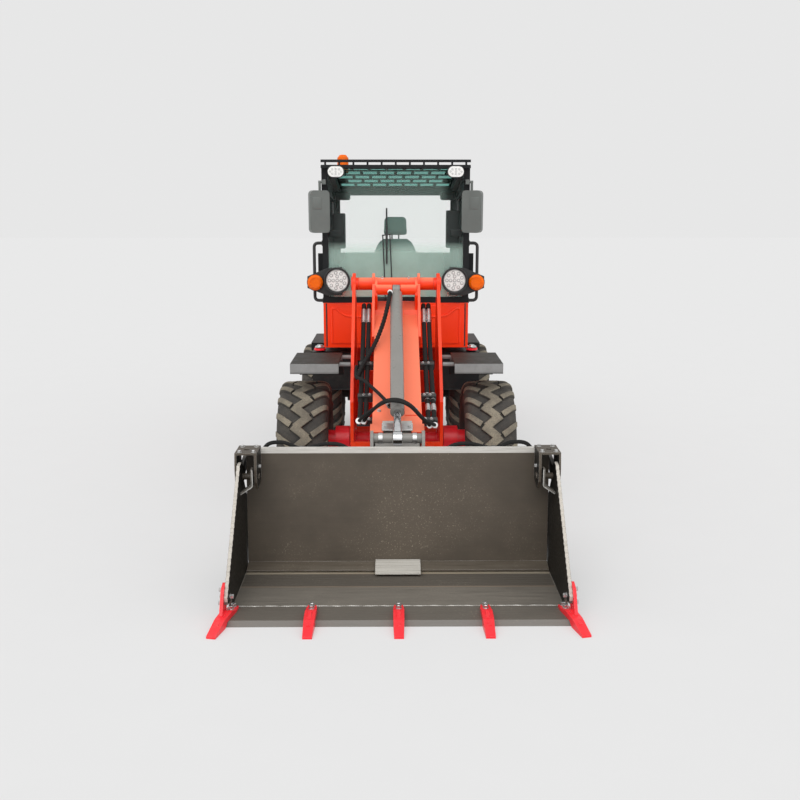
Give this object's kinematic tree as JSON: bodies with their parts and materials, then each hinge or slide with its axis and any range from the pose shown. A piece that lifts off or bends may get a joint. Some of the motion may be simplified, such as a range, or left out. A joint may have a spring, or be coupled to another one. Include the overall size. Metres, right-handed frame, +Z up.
{
  "type": "articulated telescopic wheel loader",
  "caption": "Articulated compact wheel loader with a telescopic boom, enclosed cab and a clamshell bucket on the ground.",
  "frame": {"origin": "on the ground under the middle of the machine", "axes": "+Z up, front towards -Y, +X to the right as seen from the front"},
  "size_m": [2.054, 5.7746, 2.6937],
  "materials": {
    "orange_paint": "gloss enamel",
    "red_paint": "gloss enamel",
    "black_paint": "satin",
    "dark_steel": "worn matt",
    "grey_paint": "satin",
    "chrome_rod": "polished",
    "wear_pad": "matt",
    "rim_paint": "satin",
    "tyre_rubber": "matt rubber",
    "hose_rubber": "matt",
    "green_glass": "clear",
    "black_plastic": "moulded",
    "seat_cover": "vinyl",
    "clear_lens": "clear",
    "amber_lens": "clear",
    "red_lens": "clear"
  },
  "bodies": {
    "rear": {"rear_frame": "dark_steel", "rear_axle": "dark_steel", "engine": "grey_paint", "side_tanks": "black_paint", "rear_fenders": "black_paint", "counterweight": "black_paint", "tail_lamps": "red_lens", "cab_base": "orange_paint", "cab_posts": "black_paint", "cab_panels": "orange_paint", "cab_roof": "black_paint", "roof_guard": "black_paint", "cab_glass": "green_glass", "seat": "seat_cover", "controls": "black_plastic", "lamp_housings": "black_plastic", "lamp_lenses": "clear_lens", "indicators": "amber_lens", "mirrors": "black_plastic", "handrails": "black_paint", "wiper": "black_plastic", "exhaust": "grey_paint"},
    "door_left": {"door_left": "black_paint", "door_left_glass": "green_glass"},
    "door_right": {"door_right": "black_paint", "door_right_glass": "green_glass"},
    "hood": {"hood": "orange_paint"},
    "front": {"front_frame": "orange_paint", "front_axle": "red_paint", "front_fenders": "black_paint"},
    "boom": {"boom_outer": "orange_paint", "boom_pads": "wear_pad", "boom_hoses": "hose_rubber", "tilt_barrel": "grey_paint"},
    "boom_inner": {"boom_inner": "grey_paint"},
    "tilt_rod": {"tilt_rod": "chrome_rod"},
    "coupler": {"coupler": "grey_paint", "bucket_back": "dark_steel", "bucket_hoses": "hose_rubber"},
    "clam": {"bucket_clam": "dark_steel", "bucket_teeth": "red_paint"},
    "clam_barrels": {"clam_barrels": "black_paint"},
    "clam_rods": {"clam_rods": "chrome_rod"},
    "lift_barrel": {"lift_barrel": "grey_paint"},
    "lift_rod": {"lift_rod": "chrome_rod"},
    "steer_barrel_left": {"steer_barrel_left": "grey_paint"},
    "steer_rod_left": {"steer_rod_left": "chrome_rod"},
    "wheel_front_left": {"tyre_front_left": "tyre_rubber", "rim_front_left": "rim_paint"},
    "wheel_rear_left": {"tyre_rear_left": "tyre_rubber", "rim_rear_left": "rim_paint"},
    "steer_barrel_right": {"steer_barrel_right": "grey_paint"},
    "steer_rod_right": {"steer_rod_right": "chrome_rod"},
    "wheel_front_right": {"tyre_front_right": "tyre_rubber", "rim_front_right": "rim_paint"},
    "wheel_rear_right": {"tyre_rear_right": "tyre_rubber", "rim_rear_right": "rim_paint"}
  },
  "joints": [
    {"name": "articulation", "type": "hinge", "parent": "rear", "child": "front", "pos_m": [0, 0.68736, 0.86], "axis": [0, 0, 1], "range_deg": [-36, 36]},
    {"name": "door_left_swing", "type": "hinge", "parent": "rear", "child": "door_left", "pos_m": [-0.642, 1.45036, 1.7], "axis": [0, 0, -1], "range_deg": [0, 95]},
    {"name": "door_right_swing", "type": "hinge", "parent": "rear", "child": "door_right", "pos_m": [0.642, 1.45036, 1.7], "axis": [0, 0, 1], "range_deg": [0, 95]},
    {"name": "hood_lift", "type": "hinge", "parent": "rear", "child": "hood", "pos_m": [0, 1.95136, 1.446], "axis": [1, 0, 0], "range_deg": [0, 55]},
    {"name": "boom_lift", "type": "hinge", "parent": "front", "child": "boom", "pos_m": [0, 0.08736, 1.64], "axis": [-1, 0, 0], "range_deg": [0, 62]},
    {"name": "boom_extend", "type": "slide", "parent": "boom", "child": "boom_inner", "axis": [0, -0.9041, -0.4274], "range_m": [0, 0.6]},
    {"name": "bucket_tilt", "type": "hinge", "parent": "boom_inner", "child": "coupler", "pos_m": [0, -1.68736, 0.4211], "axis": [1, 0, 0], "range_deg": [-25, 85]},
    {"name": "clam_open", "type": "hinge", "parent": "coupler", "child": "clam", "pos_m": [0, -1.99236, 0.64], "axis": [-1, 0, 0], "range_deg": [0, 50]},
    {"name": "wheel_front_left_spin", "type": "hinge", "parent": "front", "child": "wheel_front_left", "pos_m": [-0.7075, -0.33764, 0.46], "axis": [-1, 0, 0], "continuous": true},
    {"name": "wheel_rear_left_spin", "type": "hinge", "parent": "rear", "child": "wheel_rear_left", "pos_m": [-0.7075, 1.71236, 0.46], "axis": [-1, 0, 0], "continuous": true},
    {"name": "wheel_front_right_spin", "type": "hinge", "parent": "front", "child": "wheel_front_right", "pos_m": [0.7075, -0.33764, 0.46], "axis": [-1, 0, 0], "continuous": true},
    {"name": "wheel_rear_right_spin", "type": "hinge", "parent": "rear", "child": "wheel_rear_right", "pos_m": [0.7075, 1.71236, 0.46], "axis": [-1, 0, 0], "continuous": true},
    {"name": "steer_left_swing", "type": "hinge", "parent": "rear", "child": "steer_barrel_left", "pos_m": [-0.33, 1.13736, 0.56], "axis": [0, 0, 1], "range_deg": [-14.35, 14.35]},
    {"name": "steer_left_slide", "type": "slide", "parent": "steer_barrel_left", "child": "steer_rod_left", "axis": [0.1132, -0.9936, 0], "range_m": [-0.1739, 0.1739]},
    {"name": "steer_right_swing", "type": "hinge", "parent": "rear", "child": "steer_barrel_right", "pos_m": [0.33, 1.13736, 0.56], "axis": [0, 0, 1], "range_deg": [-14.35, 14.35]},
    {"name": "steer_right_slide", "type": "slide", "parent": "steer_barrel_right", "child": "steer_rod_right", "axis": [-0.1132, -0.9936, 0], "range_m": [-0.1739, 0.1739]},
    {"name": "lift_swing", "type": "hinge", "parent": "front", "child": "lift_barrel", "pos_m": [0, 0.28736, 0.76], "axis": [-1, 0, 0], "range_deg": [-0.5, 48.26]},
    {"name": "lift_slide", "type": "slide", "parent": "lift_barrel", "child": "lift_rod", "axis": [0, -0.981, -0.1942], "range_m": [-0.002, 0.8477]},
    {"name": "tilt_slide", "type": "slide", "parent": "boom_inner", "child": "tilt_rod", "axis": [0, -0.9041, -0.4274], "range_m": [-0.1552, 0.523]},
    {"name": "clam_swing", "type": "hinge", "parent": "coupler", "child": "clam_barrels", "pos_m": [0, -1.81236, 0.13], "axis": [-1, 0, 0], "range_deg": [-0.79, 0.5]},
    {"name": "clam_slide", "type": "slide", "parent": "clam_barrels", "child": "clam_rods", "axis": [0, 0.0175, 0.9998], "range_m": [-0.1717, 0.002]}
  ],
  "couplings": [
    {"joint": "steer_left_swing", "follows": "articulation", "ratio": 0.38482},
    {"joint": "steer_left_slide", "follows": "articulation", "m_per_rad": 0.27364},
    {"joint": "steer_right_swing", "follows": "articulation", "ratio": 0.38482},
    {"joint": "steer_right_slide", "follows": "articulation", "m_per_rad": -0.27364},
    {"joint": "lift_swing", "follows": "boom_lift", "ratio": 0.77032},
    {"joint": "lift_slide", "follows": "boom_lift", "m_per_rad": 0.78149},
    {"joint": "tilt_slide", "follows": "bucket_tilt", "m_per_rad": 0.35122},
    {"joint": "clam_swing", "follows": "clam_open", "ratio": -0.00584},
    {"joint": "clam_slide", "follows": "clam_open", "m_per_rad": -0.19449}
  ]
}
